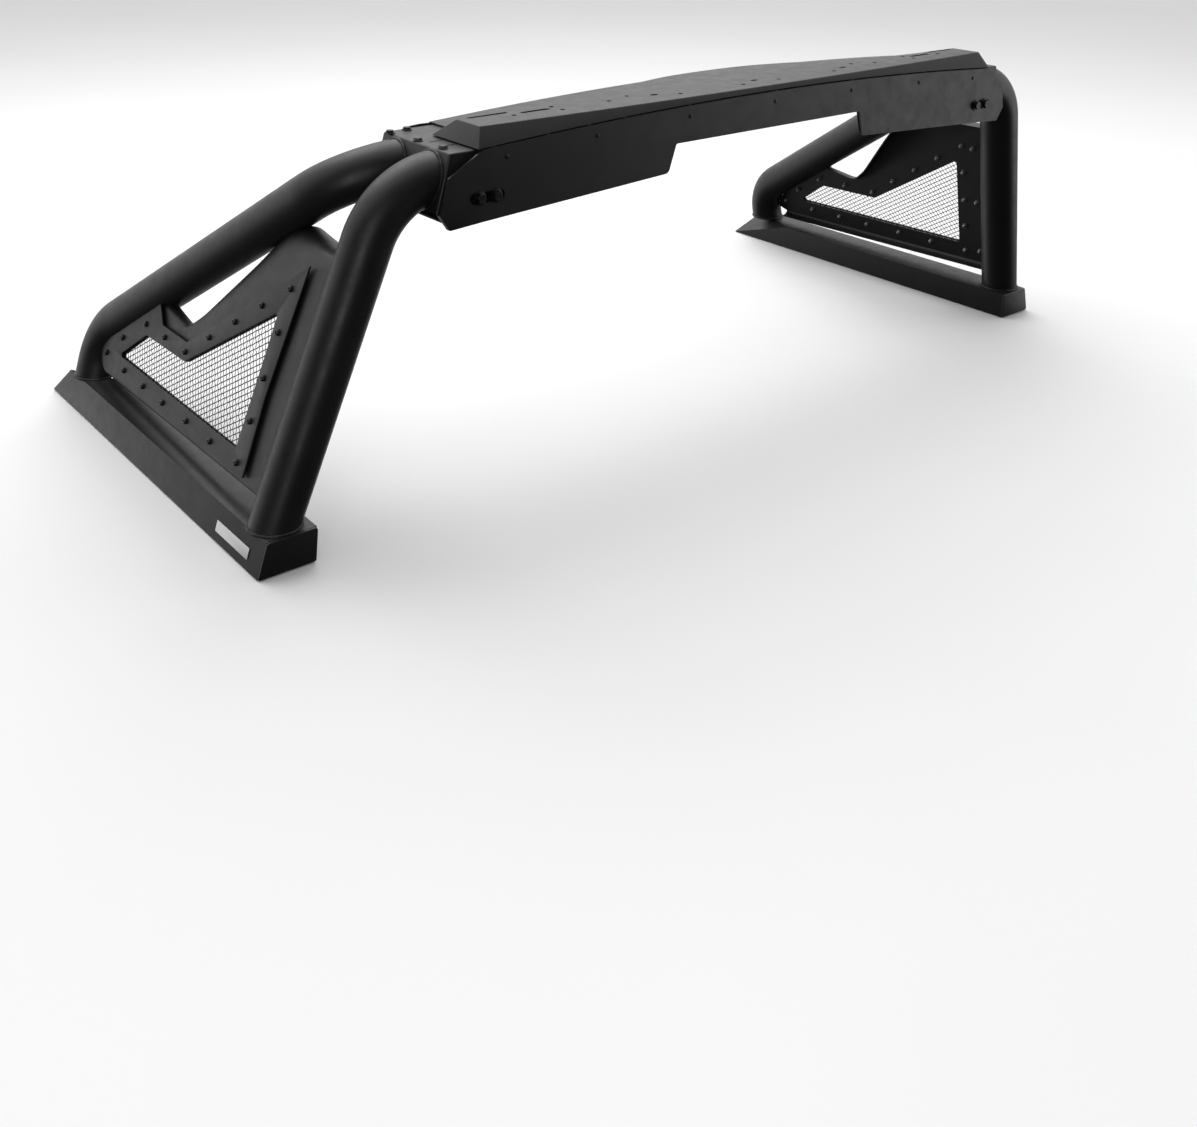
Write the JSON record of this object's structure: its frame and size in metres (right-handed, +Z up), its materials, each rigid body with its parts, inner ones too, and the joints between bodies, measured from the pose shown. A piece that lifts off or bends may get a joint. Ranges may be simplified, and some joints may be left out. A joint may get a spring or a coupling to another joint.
{
  "type": "headache rack",
  "caption": "Pickup bed sport bar: arched crossbar with a rising light mount, on two leaning tubular legs with meshed side panels and bed rails.",
  "frame": {"origin": "on the ground plane of the rail pads, under the middle of the rack's box", "axes": "+Z up, -Y towards the cab, +X towards the rail without the badge"},
  "size_m": [1.7886, 0.8458, 0.577],
  "materials": {
    "coated_steel": "fine-textured satin black powder coat",
    "wire_mesh": "woven steel wire, black powder coat",
    "black_fasteners": "black oxide, slightly glossy",
    "zinc_steel": "zinc plated",
    "cast_aluminium": "as cast",
    "badge_aluminium": "brushed, blank",
    "rubber": "matt",
    "nylon": "natural nylon"
  },
  "bodies": {
    "crossbar": {"front_fascia": "coated_steel", "rear_fascia": "coated_steel", "bottom_pan": "coated_steel", "left_lift_housing": "cast_aluminium", "left_lift_bush": "nylon", "left_lift_motor": "zinc_steel", "right_lift_housing": "cast_aluminium", "right_lift_bush": "nylon", "right_lift_motor": "zinc_steel"},
    "light_mount": {"light_cover": "coated_steel", "light_channel": "zinc_steel", "left_lift_rod": "zinc_steel", "right_lift_rod": "zinc_steel"},
    "left_leg": {"left_base_rail": "coated_steel", "left_rail_end_plate": "coated_steel", "left_mounting_plate": "zinc_steel", "left_rail_pad": "rubber", "left_front_tube": "coated_steel", "left_rear_tube": "coated_steel", "left_side_panel": "coated_steel", "left_trim_plate": "coated_steel", "left_mesh_panel": "wire_mesh", "left_saddle": "coated_steel", "left_front_slot_bolt_inner": "black_fasteners", "left_front_slot_bolt_outer": "black_fasteners", "left_rear_slot_bolt_inner": "black_fasteners", "left_rear_slot_bolt_outer": "black_fasteners", "left_saddle_bolt_1": "black_fasteners", "left_saddle_bolt_2": "black_fasteners", "left_saddle_bolt_3": "black_fasteners", "left_saddle_bolt_4": "black_fasteners", "badge_plate": "badge_aluminium"},
    "right_leg": {"right_base_rail": "coated_steel", "right_rail_end_plate": "coated_steel", "right_mounting_plate": "zinc_steel", "right_rail_pad": "rubber", "right_front_tube": "coated_steel", "right_rear_tube": "coated_steel", "right_side_panel": "coated_steel", "right_trim_plate": "coated_steel", "right_mesh_panel": "wire_mesh", "right_saddle": "coated_steel", "right_front_slot_bolt_inner": "black_fasteners", "right_front_slot_bolt_outer": "black_fasteners", "right_rear_slot_bolt_inner": "black_fasteners", "right_rear_slot_bolt_outer": "black_fasteners", "right_saddle_bolt_1": "black_fasteners", "right_saddle_bolt_2": "black_fasteners", "right_saddle_bolt_3": "black_fasteners", "right_saddle_bolt_4": "black_fasteners"}
  },
  "joints": [
    {"name": "light_mount_lift", "type": "slide", "parent": "crossbar", "child": "light_mount", "axis": [0, 0, 1], "range_m": [0, 0.06]},
    {"name": "left_leg_width", "type": "slide", "parent": "crossbar", "child": "left_leg", "axis": [-1, 0, 0], "range_m": [-0.01, 0.01]},
    {"name": "right_leg_width", "type": "slide", "parent": "crossbar", "child": "right_leg", "axis": [1, 0, 0], "range_m": [-0.01, 0.01]}
  ]
}
